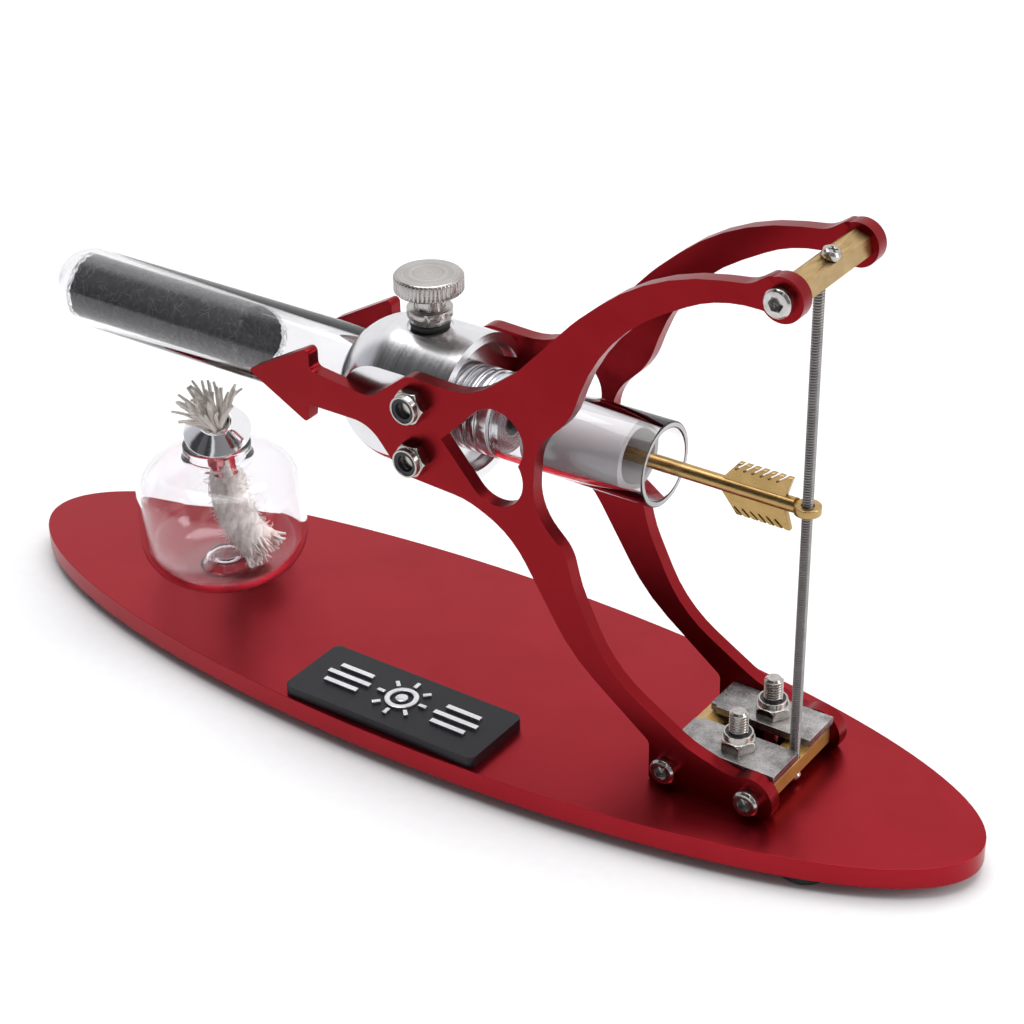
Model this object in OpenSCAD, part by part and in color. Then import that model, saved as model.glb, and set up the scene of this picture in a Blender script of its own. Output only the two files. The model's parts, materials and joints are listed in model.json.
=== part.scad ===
// Bow-and-arrow laminar-flow Stirling engine model with a spirit lamp.
// A glass hot tube, a finned cooler and a glass power cylinder lie on one axis between two bow-shaped
// plates. The piston's rod is an arrow whose eyelet rides on a coil-spring bowstring.
// Frame: origin under the middle of the base at the level its rubber feet stand on, X along the base
// towards the bowstring, Y across it, Z up. The engine axis lies in the plane y = 0.

/* [Base] */
// length of the oval base plate
base_length = 200; // [190:1:240]
// width of the oval base plate
base_width = 56.5; // [54:0.5:80]
// thickness of the base plate
base_thickness = 3.8; // [3:0.1:6]
// height of the rubber feet below the base plate
foot_height = 2.2; // [1.5:0.1:5]
// diameter of the rubber feet
foot_diameter = 9; // [6:0.5:10]

/* [Bow] */
// thickness of each bow plate
plate_thickness = 2.5; // [2:0.1:3]
// gap between the two bow plates
plate_gap = 20.4; // [20:0.1:22]
// height of the engine axis above the top of the base
axis_height = 51.6; // [51:0.1:54]
// width across flats of the hexagonal brass crossbars
crossbar_flats = 4.6; // [4.4:0.1:5]
// diameter of the coil-spring bowstring
string_diameter = 1.85; // [1.4:0.05:1.9]

/* [Engine] */
// outer diameter of the glass hot tube
hot_tube_diameter = 14.6; // [14:0.1:15]
// wall of the glass hot tube
hot_tube_wall = 1; // [0.8:0.1:1.2]
// outer diameter of the glass power cylinder
cylinder_diameter = 14.4; // [14:0.1:15]
// bore of the glass power cylinder
cylinder_bore = 12.1; // [11.8:0.1:12.4]
// radial running gap between piston and cylinder
piston_gap = 0.05; // [0.03:0.01:0.08]
// diameter of the aluminium cooler
cooler_diameter = 26; // [25:0.5:27]
// diameter of the brass arrow rod
rod_diameter = 2.5; // [2:0.1:2.6]

/* [Lamp] */
// diameter of the glass spirit lamp
lamp_diameter = 31.6; // [28:0.2:32]
// height of the lamp's glass up to its mouth
lamp_height = 27; // [26:0.5:28]
// distance of the lamp from the middle of the base
lamp_offset = 56.3; // [50:0.5:60]

/* [Hidden] */
$fn = 64;

base_top = foot_height + base_thickness;
axis_z = base_top + axis_height;
plate_inner = plate_gap / 2;
plate_outer = plate_inner + plate_thickness;

// metric thread size used by every screw and stud
thread = 3;
thread_hole = thread + 0.1;
screw_head = 4.6;
screw_head_height = 1.7;
socket_flats = 2.2;
set_screw_radius = 0.6;
nut_flats = 5.5;
nut_height = 3;
nut_hex_height = 1.9;

// bow plate: heights below are measured from the top of the base
tip = [66.9, 92.0];
tip_radius = 3.6;
front_foot = [65.1, 3.3];
rear_foot = [49.5, 3.3];
foot_radius = 4.2;
heart_point = [5.7, 51.6];
heart_upper = [16.4, 54.5];
heart_lower = [16.2, 48.1];
heart_radius = 5.6;
hub_x = 0.2;
hub_spread = 4.9;

// clamps that hold the bow's foot to the base
clamp_left = 49;
clamp_right = 68;
clamp_inner = 1.9;
clamp_thickness = 1.4;
clamp_z = base_top + front_foot[1] + crossbar_flats / sqrt(3);
stud_x = 58.9;
stud_y = 5.7;
stud_top = base_top + 14.3;

// string
string_x = 66.3;
string_top = base_top + 92.2;
string_bottom = base_top + 3.6;

// cooler
cooler_radius = cooler_diameter / 2;
dome_x = -8.9;
rim_x = 5;
cup_floor_x = 2.4;
cup_radius = cooler_radius - 1.6;
socket_tail = 5;
passage_radius = 3;

// hot end
hot_radius = hot_tube_diameter / 2;
hot_dome_x = -83.7;
hot_end_x = -9.5;
seal_places = [-12, -16];
stack_radius = 6.1;
stack_left = -83.8;
stack_right = -43.9;

// power cylinder and piston
cylinder_radius = cylinder_diameter / 2;
bore_radius = cylinder_bore / 2;
shoulder_x = 10.6;
nose_x = 12.6;
cylinder_end_x = 40.7;
piston_left = 17;
piston_right = 35.7;
piston_radius = bore_radius - piston_gap;
piston_wall = 1;

// arrow
eyelet_x = string_x;
eyelet_radius = 2.2;
eyelet_hole = string_diameter / 2 + 0.1;
eyelet_thickness = 1.4;
vane_thickness = 1;
vane_height = 4.6;

// bleed valve on top of the cooler
valve_x = -5.3;
valve_seat_z = axis_z + cooler_radius - 0.6;
valve_head_radius = 5.9;

// lamp
lamp_x = -lamp_offset;
lamp_radius = lamp_diameter / 2;
neck_radius = 6.4;
glass_wall = 1.1;
punt_height = 2.4;

// wick holder: it leans in the lamp's mouth, and its lengths run along its own axis from its rim
lean = 23.7;
lean_heading = -57.2;
rim_radius = 6.3;
rim_place = [0.95, -0.45, lamp_height + rim_radius * sin(lean) + 0.1];
cone_height = 3.1;
plug_depth = 3.1;
sleeve_radius = 3.2;
sleeve_bore = 2.5;
sleeve_depth = 11;

// wick, and the line of its tail in the lamp, from the middle of the lamp's foot
wick_radius = 2.45;
tuft_length = 6.9;
tail_start = 14.5;
tail_radius = 3.4;
wick_tail = [[-2.2, 4.4, 16.3], [0, 2.7, 13], [1.9, 2.4, 10], [3.6, 2.5, 7.6], [7.2, 2.6, 5.2]];

// nameplate
plate_size = [40.4, 15, 2];
plate_centre = [0.4, -19.6];

// outline of the bow, clockwise from the arrowhead, as [x, height above the base, fillet radius]
bow_corners = [
    [-35.3, 53.2, 0.5], [-21.5, 60.9, 0.9], [-21.5, 56.7, 1.2], [-8.8, 55.2, 5], [-0.9, 61.4, 4],
    [11.7, 60.9, 14], [20.8, 67.8, 15], [31.8, 79.5, 22], [45.4, 91.2, 40], [61.9, 93.3, 5.5],
    [66.3, 96.4, 1.5], [67.5, 90, 0], [65, 89.6, 0.5], [57.1, 90.1, 22], [36.9, 79, 32],
    [30.9, 62.1, 12.8], [24.4, 55.8, 9.7], [23.5, 43.8, 10.4], [30, 37.6, 7.2], [31.6, 31.1, 21],
    [38, 17.8, 23], [53.3, 8.7, 17.8], [62, 6.4, 8], [66, 7.6, 0.5], [66, 0, 0],
    [46.2, 0, 0.5], [46.2, 7.3, 1.5], [32.2, 18, 30], [28.9, 22.4, 30], [19.2, 38.1, 16.9],
    [10.5, 41.8, 14], [-3, 42.6, 4], [-9.3, 50.1, 7], [-22, 50.1, 0.8], [-22.5, 46.3, 0.8]
];

// ---- helpers ----

function unit(v) = v / norm(v);
function turn(a, b) = a[0] * b[1] - a[1] * b[0];
function direction(v) = atan2(v[1], v[0]);

// points of an arc, one every 8 degrees or less, without the point it starts from
function arc(centre, radius, from, to) =
    let(steps = ceil(abs(to - from) / 8))
    [for (k = [1:steps]) let(a = from + (to - from) * k / steps) centre + radius * [cos(a), sin(a)]];

// points of the fillet that replaces corner i of a closed outline, one every 8 degrees or less;
// a corner is [x, height, radius of its fillet]
function fillet(corners, i) =
    let(
        n = len(corners),
        here = [corners[i][0], corners[i][1]],
        before = corners[(i + n - 1) % n],
        after = corners[(i + 1) % n],
        radius = corners[i][2],
        to_before = unit([before[0], before[1]] - here),
        to_after = unit([after[0], after[1]] - here),
        opening = acos(to_before * to_after),
        reach = radius / tan(opening / 2),
        centre = here + unit(to_before + to_after) * radius / sin(opening / 2),
        start = here + to_before * reach - centre,
        sweep = (180 - opening) * sign(turn(-to_before, to_after)),
        steps = max(1, ceil(abs(sweep) / 8))
    )
    radius == 0 ? [here] : [
        for (k = [0:steps])
            let(a = sweep * k / steps)
            centre + [start[0] * cos(a) - start[1] * sin(a), start[0] * sin(a) + start[1] * cos(a)]
    ];

function rounded(corners) = [for (i = [0:len(corners) - 1]) each fillet(corners, i)];

function oval(length, width, steps) = [
    for (k = [0:steps - 1])
        let(a = 360 * k / steps)
        [length / 2 * cos(a), width / 2 * sin(a)]
];

// places its children with their Z axis along the engine axis, pointing at the bowstring
module along_axis(x) {
    translate([x, 0, axis_z]) rotate([0, 90, 0]) children();
}

// stands a flat shape drawn in X and height on the base, as a plate from y1 to y2
module upright(y1, y2) {
    translate([0, y2, base_top]) rotate([90, 0, 0]) linear_extrude(y2 - y1) children();
}

// turned tube of the given radii
module ring(outer, inner, height) {
    difference() {
        cylinder(r = outer, h = height);
        translate([0, 0, -1]) cylinder(r = inner, h = height + 2);
    }
}

// socket head screw: the shank points to -Z from the seat at z = 0
module socket_screw(length) {
    chamfer = 0.35;
    difference() {
        union() {
            cylinder(r = screw_head / 2, h = screw_head_height - chamfer);
            translate([0, 0, screw_head_height - chamfer])
                cylinder(r1 = screw_head / 2, r2 = screw_head / 2 - chamfer, h = chamfer);
            translate([0, 0, -length]) cylinder(r = thread / 2, h = length + 0.1);
        }
        translate([0, 0, screw_head_height - 1.3]) cylinder(r = socket_flats / sqrt(3), h = 2, $fn = 6);
    }
}

// small cross-head screw, made smaller by the factor size: the shank points to -Z from the seat at z = 0
module string_screw(stand_off, length, size = 1) {
    head = 1.45;
    translate([0, 0, stand_off]) scale(size) difference() {
        union() {
            cylinder(r = head, h = 0.8);
            translate([0, 0, 0.8]) cylinder(r1 = head, r2 = head - 0.4, h = 0.4);
        }
        for (a = [45, 135]) rotate([0, 0, a]) translate([-0.8, -0.2, 0.6]) cube([1.6, 0.4, 1]);
    }
    translate([0, 0, -length]) cylinder(r = set_screw_radius, h = length + stand_off + 0.1);
}

// nylon lock nut standing on z = 0, without its nylon ring
module lock_nut() {
    difference() {
        union() {
            intersection() {
                cylinder(r = nut_flats / sqrt(3), h = nut_hex_height, $fn = 6);
                cylinder(r1 = nut_flats / 2 + 1.5, r2 = nut_flats / 2 + 0.1, h = nut_hex_height);
            }
            translate([0, 0, nut_hex_height - 0.1])
                cylinder(r = nut_flats / 2 - 0.25, h = nut_height - nut_hex_height + 0.1);
        }
        translate([0, 0, -1]) cylinder(r = thread / 2 + 0.02, h = nut_height + 2);
        translate([0, 0, nut_hex_height]) cylinder(r = nut_flats / 2 - 0.6, h = nut_height);
    }
}

// nylon ring inside a lock nut
module nut_insert() {
    translate([0, 0, nut_hex_height]) ring(nut_flats / 2 - 0.6, thread / 2 + 0.02, 0.9);
}

// stands its children on the outside of the near plate, then again on the far plate
module on_both_plates(seat) {
    translate([0, -seat, 0]) rotate([90, 0, 0]) children();
    translate([0, seat, 0]) rotate([-90, 0, 0]) children();
}

module at(point) {
    translate([point[0], 0, base_top + point[1]]) children();
}

// ---- base ----

module base_plate() {
    color([0.6, 0.1, 0.15]) difference() {
        translate([0, 0, foot_height])
            linear_extrude(base_thickness) polygon(oval(base_length, base_width, 144));
        for (side = [-1, 1]) translate([stud_x, side * stud_y, 0]) {
            cylinder(r = thread_hole / 2, h = base_top + 1);
            translate([0, 0, foot_height]) cylinder(r1 = 3.05, r2 = 1.5, h = 1.55);
        }
    }
}

module rubber_feet() {
    foot_x = base_length * 0.3785;
    foot_y = base_width * 0.223;
    chamfer = 0.4;
    color([0.08, 0.08, 0.08]) for (x = [-1, 1], y = [-1, 1]) translate([x * foot_x, y * foot_y, 0]) {
        cylinder(r1 = foot_diameter / 2 - chamfer, r2 = foot_diameter / 2, h = chamfer);
        translate([0, 0, chamfer]) cylinder(r = foot_diameter / 2, h = foot_height - chamfer);
    }
}

module nameplate() {
    half = plate_size / 2;
    fillet = 1.2;
    corners = [for (c = [[-1, -1], [1, -1], [1, 1], [-1, 1]]) [c[0] * half[0], c[1] * half[1], fillet]];
    color([0.05, 0.05, 0.06])
        translate([plate_centre[0], plate_centre[1], base_top])
            linear_extrude(plate_size[2]) polygon(rounded(corners));
}

// plain raised ornament: a sunburst between two stepped bars
module nameplate_trim() {
    raise = 0.5;
    bar_height = 1;
    color([0.85, 0.85, 0.87])
        translate([plate_centre[0], plate_centre[1], base_top + plate_size[2]]) {
            ring(3, 2.1, raise);
            cylinder(r = 1.1, h = raise);
            for (a = [0:45:315]) rotate([0, 0, a]) translate([3.7, -0.35, 0]) cube([1.5, 0.7, raise]);
            for (side = [-1, 1], row = [-1, 0, 1])
                translate([side * 11.5 - 4.5 + abs(row), row * 2.4 - bar_height / 2, 0])
                    cube([9 - 2 * abs(row), bar_height, raise]);
        }
}

// ---- bow ----

// heart: a point on the left and two round lobes that meet in a notch on the right
module heart_outline() {
    meeting = acos(norm(heart_upper - heart_lower) / 2 / heart_radius);
    to_upper = heart_point - heart_upper;
    to_lower = heart_point - heart_lower;
    upper_from = 360 + direction(to_upper) - acos(heart_radius / norm(to_upper));
    upper_to = direction(heart_lower - heart_upper) + meeting;
    lower_from = direction(heart_upper - heart_lower) - meeting;
    lower_to = direction(to_lower) + acos(heart_radius / norm(to_lower)) - 360;
    polygon(concat(
        [heart_point],
        arc(heart_upper, heart_radius, upper_from, upper_to),
        arc(heart_lower, heart_radius, lower_from, lower_to)
    ));
}

// clearance hole for a screw through a plate that starts at y = 0
module screw_hole() {
    translate([0, -1, 0]) rotate([-90, 0, 0]) cylinder(r = thread_hole / 2, h = plate_thickness + 2);
}

// round end of a bow plate around a screw
module plate_end(point, radius, y1) {
    at(point) translate([0, y1, 0]) rotate([-90, 0, 0]) cylinder(r = radius, h = plate_thickness);
}

module bow_plate(y1, y2) {
    color([0.5, 0.09, 0.12]) difference() {
        union() {
            upright(y1, y2) polygon(rounded(bow_corners));
            plate_end(tip, tip_radius, y1);
            plate_end(front_foot, foot_radius, y1);
        }
        upright(y1 - 1, y2 + 1) heart_outline();
        translate([front_foot[0] - foot_radius, y1 - 1, base_top - foot_radius])
            cube([2 * foot_radius, plate_thickness + 2, foot_radius]);
        for (point = [tip, front_foot, rear_foot]) at(point) translate([0, y1, 0]) screw_hole();
        for (side = [-1, 1]) translate([hub_x, y1, axis_z + side * hub_spread]) screw_hole();
    }
}

module bow_plate_near() {
    bow_plate(-plate_outer, -plate_inner);
}

module bow_plate_far() {
    bow_plate(plate_inner, plate_outer);
}

// hexagonal bar between the plates, turned by the given angle about its own axis
module crossbar(point, angle) {
    at(point) difference() {
        translate([0, plate_inner, 0]) rotate([90, 0, 0])
            rotate([0, 0, angle]) cylinder(r = crossbar_flats / sqrt(3), h = plate_gap, $fn = 6);
        for (side = [-1, 1])
            translate([0, side * (plate_inner + 1), 0]) rotate([side * 90, 0, 0])
                cylinder(r = thread / 2 + 0.02, h = 7);
        children();
    }
}

module top_crossbar() {
    color([0.75, 0.6, 0.35]) crossbar(tip, 40) {
        rotate([0, 20, 0]) cylinder(r = set_screw_radius + 0.02, h = 10);
        translate([string_x - tip[0], 0, -10]) cylinder(r = string_diameter / 2 + 0.05, h = 10.3);
    }
}

module top_crossbar_screws() {
    color([0.75, 0.75, 0.75]) at(tip) on_both_plates(plate_outer) socket_screw(6.5);
}

module string_screw_top() {
    color([0.8, 0.8, 0.8]) at(tip) rotate([0, 20, 0])
        translate([0, 0, crossbar_flats / 2]) string_screw(0.2, 1.9);
}

module foot_bar_front() {
    color([0.75, 0.55, 0.25]) crossbar(front_foot, 30) {
        rotate([0, 150, 0]) cylinder(r = set_screw_radius + 0.02, h = 10);
        translate([string_x - front_foot[0], 0, 0]) cylinder(r = string_diameter / 2 + 0.05, h = 10);
    }
}

module foot_bar_rear() {
    color([0.75, 0.55, 0.25]) crossbar(rear_foot, 30);
}

module foot_screws() {
    color([0.75, 0.75, 0.75]) for (point = [front_foot, rear_foot])
        at(point) on_both_plates(plate_outer) socket_screw(6.5);
}

module string_screw_bottom() {
    color([0.8, 0.8, 0.8]) at(front_foot) rotate([0, 150, 0])
        translate([0, 0, crossbar_flats / 2]) string_screw(0, 1.6, 0.8);
}

// the coil spring's envelope
module bow_string() {
    color([0.55, 0.55, 0.57]) translate([string_x, 0, string_bottom])
        cylinder(r = string_diameter / 2, h = string_top - string_bottom);
}

// ---- foot clamps ----

module clamp_plate() {
    notch = 1.2;
    color([0.55, 0.53, 0.5]) difference() {
        translate([clamp_left, clamp_inner, clamp_z])
            cube([clamp_right - clamp_left, plate_inner - clamp_inner - 0.1, clamp_thickness]);
        translate([stud_x, stud_y, clamp_z - 1]) cylinder(r = thread_hole / 2, h = clamp_thickness + 2);
        translate([clamp_left - 1, clamp_inner - 1, clamp_z - 1])
            cube([1 + notch, 1 + notch / 2, clamp_thickness + 2]);
    }
}

module clamp_plate_near() {
    mirror([0, 1, 0]) clamp_plate();
}

module clamp_plate_far() {
    clamp_plate();
}

module at_both_studs() {
    for (side = [-1, 1]) translate([stud_x, side * stud_y, 0]) children();
}

// countersunk screws that come up through the base
module clamp_bolts() {
    chamfer = 0.35;
    shank_bottom = foot_height + 1.4;
    color([0.7, 0.7, 0.7]) at_both_studs() {
        translate([0, 0, foot_height]) cylinder(r1 = 3, r2 = thread / 2, h = 1.5);
        translate([0, 0, shank_bottom]) cylinder(r = thread / 2, h = stud_top - chamfer - shank_bottom);
        translate([0, 0, stud_top - chamfer])
            cylinder(r1 = thread / 2, r2 = thread / 2 - chamfer, h = chamfer);
    }
}

module clamp_lock_nuts() {
    color([0.6, 0.58, 0.55]) at_both_studs()
        translate([0, 0, clamp_z + clamp_thickness]) lock_nut();
}

module clamp_nut_inserts() {
    color([0.1, 0.1, 0.12]) at_both_studs()
        translate([0, 0, clamp_z + clamp_thickness]) nut_insert();
}

// ---- cooler ----

// turned body: a dome around the hot tube on the left, an open cup around the socket on the right
module cooler_body() {
    pocket = hot_radius + 0.2;
    dome_start = asin(pocket / cooler_radius);
    steps = 12;
    outside = [
        for (k = [0:steps])
            let(a = dome_start + (90 - dome_start) * k / steps)
            [cooler_radius * sin(a), dome_x - cooler_radius * cos(a)]
    ];
    socket_bore = socket_tail + 0.02;
    inside = [
        [cooler_radius, rim_x], [cup_radius, rim_x], [cup_radius - 0.2, cup_floor_x],
        [socket_bore, cup_floor_x], [socket_bore, -3], [passage_radius, -3],
        [passage_radius, hot_end_x + 0.5], [pocket, hot_end_x + 0.5]
    ];
    grooves = [
        for (x = seal_places)
            each [[pocket, x + 0.6], [pocket + 0.82, x + 0.6], [pocket + 0.82, x - 0.6], [pocket, x - 0.6]]
    ];
    color([0.85, 0.85, 0.87]) difference() {
        along_axis(0) rotate_extrude($fn = 96) polygon(concat(outside, inside, grooves));
        for (side = [-1, 1])
            translate([-40, side * (plate_inner + 10) - 10, axis_z - 20]) cube([60, 20, 40]);
        on_hub_studs() translate([0, 0, -8]) cylinder(r = thread / 2 + 0.02, h = 20);
        translate([valve_x, 0, axis_z]) cylinder(r = thread / 2 + 0.05, h = 30);
        translate([valve_x, 0, valve_seat_z]) cylinder(r = 3.9, h = 10);
    }
}

// places its children on the four hub stud axes, with z = 0 on the outside of the cooler's flats
module on_hub_studs() {
    for (side = [-1, 1])
        translate([hub_x, 0, axis_z + side * hub_spread]) on_both_plates(plate_inner) children();
}

module hub_studs() {
    chamfer = 0.3;
    reach = plate_thickness + 1.7;
    color([0.6, 0.6, 0.62]) on_hub_studs() translate([0, 0, -4.2]) {
        cylinder(r = thread / 2, h = 4.2 + reach - chamfer);
        translate([0, 0, 4.2 + reach - chamfer])
            cylinder(r1 = thread / 2, r2 = thread / 2 - chamfer, h = chamfer);
    }
}

module hub_lock_nuts() {
    color([0.8, 0.78, 0.75]) on_hub_studs() translate([0, 0, plate_thickness]) lock_nut();
}

module hub_nut_inserts() {
    color([0.1, 0.1, 0.12]) on_hub_studs() translate([0, 0, plate_thickness]) nut_insert();
}

// ---- hot end ----

// half profile of a test tube: straight wall with a round closed end
function tube_profile(radius, left, right, steps) = concat(
    [for (k = [0:steps]) let(a = 90 * k / steps) [radius * sin(a), left - radius * cos(a)]],
    [[radius, right]]
);

module hot_tube() {
    inner = hot_radius - hot_tube_wall;
    color([0.85, 0.88, 0.9, 0.4]) along_axis(0) rotate_extrude() difference() {
        polygon(concat(tube_profile(hot_radius, hot_dome_x, hot_end_x, 16), [[0, hot_end_x]]));
        polygon(concat(
            tube_profile(inner, hot_dome_x, hot_end_x + 1, 16),
            [[-1, hot_end_x + 1], [-1, hot_dome_x - inner]]
        ));
    }
}

module hot_tube_seals() {
    section = 1;
    color([0.12, 0.12, 0.12]) for (x = seal_places)
        along_axis(x) rotate_extrude() translate([hot_radius + section / 2, 0]) circle(d = section, $fn = 24);
}

// roll of dark wool at the round end of the hot tube
module regenerator_stack() {
    color([0.08, 0.08, 0.08]) along_axis(stack_left) cylinder(r = stack_radius, h = stack_right - stack_left);
}

// ---- power cylinder ----

// turned socket with ribs that carries the glass cylinder on its nose
module cylinder_socket() {
    rib_pitch = 2;
    root = cylinder_radius - 0.4;
    color([0.75, 0.75, 0.77]) difference() {
        union() {
            along_axis(-2.9) cylinder(r = socket_tail, h = 5.4);
            along_axis(cup_floor_x + 0.05) cylinder(r = root, h = shoulder_x - cup_floor_x - 0.05);
            for (x = [3.2:rib_pitch:9.2])
                along_axis(x) cylinder(r = cylinder_radius + 0.1, h = rib_pitch / 2);
            along_axis(shoulder_x - 0.4) cylinder(r = cylinder_radius + 0.1, h = 0.4);
            along_axis(shoulder_x - 0.1) cylinder(r = bore_radius - 0.05, h = nose_x - shoulder_x + 0.1);
        }
        along_axis(-4) cylinder(r = passage_radius, h = nose_x + 6);
    }
}

module cylinder_seal() {
    color([0.9, 0.9, 0.9]) along_axis(shoulder_x) ring(cylinder_radius, bore_radius, 0.4);
}

module glass_cylinder() {
    start = shoulder_x + 0.4;
    color([0.85, 0.88, 0.9, 0.4]) along_axis(start)
        ring(cylinder_radius, bore_radius, cylinder_end_x - start);
}

// hollow ground-glass piston, closed on the left
module piston() {
    color([0.9, 0.9, 0.92]) difference() {
        along_axis(piston_left) cylinder(r = piston_radius, h = piston_right - piston_left);
        along_axis(piston_left + 2) cylinder(r = piston_radius - piston_wall, h = piston_right - piston_left);
        along_axis(piston_left + 0.8) cylinder(r = rod_diameter / 2, h = 3);
    }
}

// ---- arrow ----

module arrow_rod() {
    start = piston_left + 0.8;
    color([0.78, 0.62, 0.35]) difference() {
        along_axis(start) cylinder(r = rod_diameter / 2, h = eyelet_x - eyelet_radius + 0.4 - start);
        translate([eyelet_x, 0, axis_z - 5]) cylinder(r = eyelet_radius, h = 10);
    }
}

// one pair of vanes, with slanted cuts along their free edges
module arrow_fletching() {
    front = 50.4;
    back = 62.3;
    rake = 3.4;
    cuts = 6;
    vane = [
        [front, 0], [front + rake + 0.4, vane_height], [back + rake * 0.4, vane_height], [back, 0]
    ];
    color([0.78, 0.62, 0.35]) difference() {
        translate([0, vane_thickness / 2, axis_z]) rotate([90, 0, 0]) linear_extrude(vane_thickness)
            for (side = [0, 1]) mirror([0, side]) difference() {
                polygon(vane);
                for (k = [1:cuts])
                    translate([front + 1.9 + k * 1.45, 3.2]) rotate(38) square([4, 0.28]);
            }
        along_axis(front - 1) cylinder(r = rod_diameter / 2, h = back - front + 10);
    }
}

module arrow_eyelet() {
    color([0.82, 0.66, 0.38])
        translate([eyelet_x, 0, axis_z - eyelet_thickness / 2])
            ring(eyelet_radius, eyelet_hole, eyelet_thickness);
}

// ---- bleed valve ----

// knurled thumb screw: plain neck, seal collar and a shank in the cooler
module valve_screw() {
    knurls = 48;
    head_z = 6.6;
    head_height = 3.1;
    shank = 6;
    color([0.8, 0.79, 0.77]) translate([valve_x, 0, valve_seat_z]) difference() {
        union() {
            translate([0, 0, -shank]) cylinder(r = thread / 2, h = shank + 2);
            translate([0, 0, 1.4]) cylinder(r = 3.5, h = 0.9);
            translate([0, 0, 2.3]) cylinder(r = 3.9, h = 1.4);
            translate([0, 0, 3.6]) cylinder(r = 2.7, h = 3.1);
            translate([0, 0, head_z]) cylinder(r1 = valve_head_radius - 0.4, r2 = valve_head_radius, h = 0.4);
            translate([0, 0, head_z + 0.4]) cylinder(r = valve_head_radius, h = head_height - 0.8);
            translate([0, 0, head_z + head_height - 0.4])
                cylinder(r1 = valve_head_radius, r2 = valve_head_radius - 0.4, h = 0.4);
        }
        for (k = [0:knurls - 1]) rotate([0, 0, 360 * k / knurls])
            translate([valve_head_radius, 0, head_z - 1]) rotate([0, 0, 45])
                translate([-0.17, -0.17, 0]) cube([0.34, 0.34, head_height + 2]);
    }
}

module valve_seal() {
    section = 1.4;
    color([0.15, 0.15, 0.16]) translate([valve_x, 0, valve_seat_z + section / 2])
        rotate_extrude() translate([2.7, 0]) circle(d = section, $fn = 24);
}

// ---- spirit lamp ----

module lamp_bulb() {
    inner = lamp_radius - glass_wall;
    mouth = neck_radius - glass_wall;
    punt_floor = punt_height + glass_wall;
    profile = rounded([
        [0, punt_height, 0], [3, punt_height, 1.5], [4.8, 0, 0.9], [lamp_radius, 0, 10],
        [lamp_radius, 22, 9], [neck_radius, 24.4, 1.2], [neck_radius, lamp_height, 0.4],
        [mouth, lamp_height, 0.4], [mouth, 23.2, 1.6], [inner, 20.8, 8], [inner, glass_wall, 9],
        [5.1, glass_wall, 0.8], [3.3, punt_floor, 1.5], [0, punt_floor, 0]
    ]);
    color([0.85, 0.88, 0.9, 0.4]) translate([lamp_x, 0, base_top]) rotate_extrude() polygon(profile);
}

// places its children on the holder's leaning axis, with z = 0 at its rim
module leaning() {
    translate([lamp_x, 0, base_top] + rim_place)
        rotate([0, 0, lean_heading]) rotate([0, lean, 0]) children();
}

// turned wick holder: cone, plug in the lamp's mouth, and a sleeve around the wick
module wick_holder() {
    plug_radius = 4.6;
    lip = 3.1;
    color([0.8, 0.8, 0.82]) leaning() rotate_extrude() polygon([
        [sleeve_bore, cone_height], [lip, cone_height], [lip, cone_height - 0.35],
        [rim_radius, 0.3], [rim_radius, 0], [plug_radius, 0], [plug_radius, -plug_depth],
        [sleeve_radius, -plug_depth - 0.5], [sleeve_radius, -sleeve_depth], [sleeve_bore, -sleeve_depth]
    ]);
}

// cotton rope through the holder: a tuft above it, and a bent tail below it
module wick() {
    color([0.85, 0.82, 0.78]) {
        leaning() {
            translate([0, 0, -tail_start]) cylinder(r = wick_radius, h = tail_start + cone_height);
            translate([0, 0, cone_height - 0.01]) cylinder(r1 = wick_radius, r2 = 4.4, h = tuft_length);
        }
        for (k = [0:len(wick_tail) - 2]) translate([lamp_x, 0, base_top]) hull() {
            translate(wick_tail[k]) sphere(r = tail_radius, $fn = 16);
            translate(wick_tail[k + 1]) sphere(r = tail_radius, $fn = 16);
        }
    }
}

base_plate();
rubber_feet();
nameplate();
nameplate_trim();
bow_plate_near();
bow_plate_far();
top_crossbar();
top_crossbar_screws();
string_screw_top();
foot_bar_front();
foot_bar_rear();
foot_screws();
string_screw_bottom();
bow_string();
clamp_plate_near();
clamp_plate_far();
clamp_bolts();
clamp_lock_nuts();
clamp_nut_inserts();
cooler_body();
hub_studs();
hub_lock_nuts();
hub_nut_inserts();
hot_tube();
hot_tube_seals();
regenerator_stack();
cylinder_socket();
cylinder_seal();
glass_cylinder();
piston();
arrow_rod();
arrow_fletching();
arrow_eyelet();
valve_screw();
valve_seal();
lamp_bulb();
wick_holder();
wick();
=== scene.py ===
"""Looks of a bow-and-arrow Stirling engine model with a spirit lamp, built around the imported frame.

Lengths are in metres, in the frame's own axes: X along the base, Z up.
"""

import json
import math
import random

import bpy
from mathutils import Matrix, Vector, noise


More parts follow.
